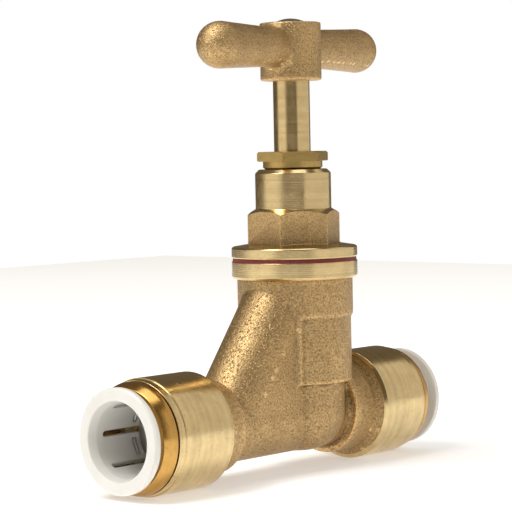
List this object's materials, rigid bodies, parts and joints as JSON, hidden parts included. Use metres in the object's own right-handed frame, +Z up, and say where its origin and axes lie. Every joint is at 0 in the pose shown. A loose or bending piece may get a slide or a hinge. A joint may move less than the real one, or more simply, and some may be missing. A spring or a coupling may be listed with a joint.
{
  "type": "push-fit stop valve",
  "caption": "Straight brass screw-down stop valve with push-fit pipe sockets, hexagon headwork and a tee-shaped crutch handle.",
  "frame": {"origin": "centre of the pipe stop in the inlet socket, on the pipe axis", "axes": "+X out of the inlet socket along the pipe axis, +Z up along the spindle, +Y to complete a right-handed frame"},
  "size_m": [0.0937, 0.0272, 0.0973],
  "materials": {
    "cast_brass": "as-cast, fine gritty grain",
    "turned_brass": "turned, satin with fine tool marks",
    "red_fibre": "matt dark red fibre",
    "packing": "matt graphite packing",
    "steel": "satin",
    "black_rubber": "matt",
    "white_plastic": "satin moulded"
  },
  "bodies": {
    "valve": {"valve_body": "cast_brass", "headwork": "turned_brass", "headwork_washer": "red_fibre", "gland_washer": "turned_brass", "gland_packing": "packing", "gland_nut": "turned_brass", "outlet_end_cap": "turned_brass", "inlet_end_cap": "turned_brass", "outlet_o_ring": "black_rubber", "inlet_o_ring": "black_rubber", "outlet_spacer_ring": "white_plastic", "inlet_spacer_ring": "white_plastic"},
    "jumper": {"jumper_valve": "turned_brass", "jumper_washer": "black_rubber", "jumper_nut": "turned_brass"},
    "handle": {"spindle": "turned_brass", "crutch_head": "cast_brass", "handle_screw": "steel"},
    "outlet_release": {"outlet_collet": "white_plastic", "outlet_collet_teeth": "steel"},
    "inlet_release": {"inlet_collet": "white_plastic", "inlet_collet_teeth": "steel"}
  },
  "joints": [
    {"name": "jumper_lift", "type": "slide", "parent": "valve", "child": "jumper", "axis": [0, 0, 1], "range_m": [0, 0.0065]},
    {"name": "handle_turn", "type": "hinge", "parent": "jumper", "child": "handle", "pos_m": [-0.0132, 0, 0.06], "axis": [0, 0, 1], "range_deg": [0, 1170]},
    {"name": "outlet_collet_press", "type": "slide", "parent": "valve", "child": "outlet_release", "axis": [1, 0, 0], "range_m": [-0.0011, 0.001]},
    {"name": "inlet_collet_press", "type": "slide", "parent": "valve", "child": "inlet_release", "axis": [-1, 0, 0], "range_m": [0, 0.0021]}
  ],
  "couplings": [
    {"joint": "jumper_lift", "follows": "handle_turn", "m_per_rad": 0.00031831}
  ]
}
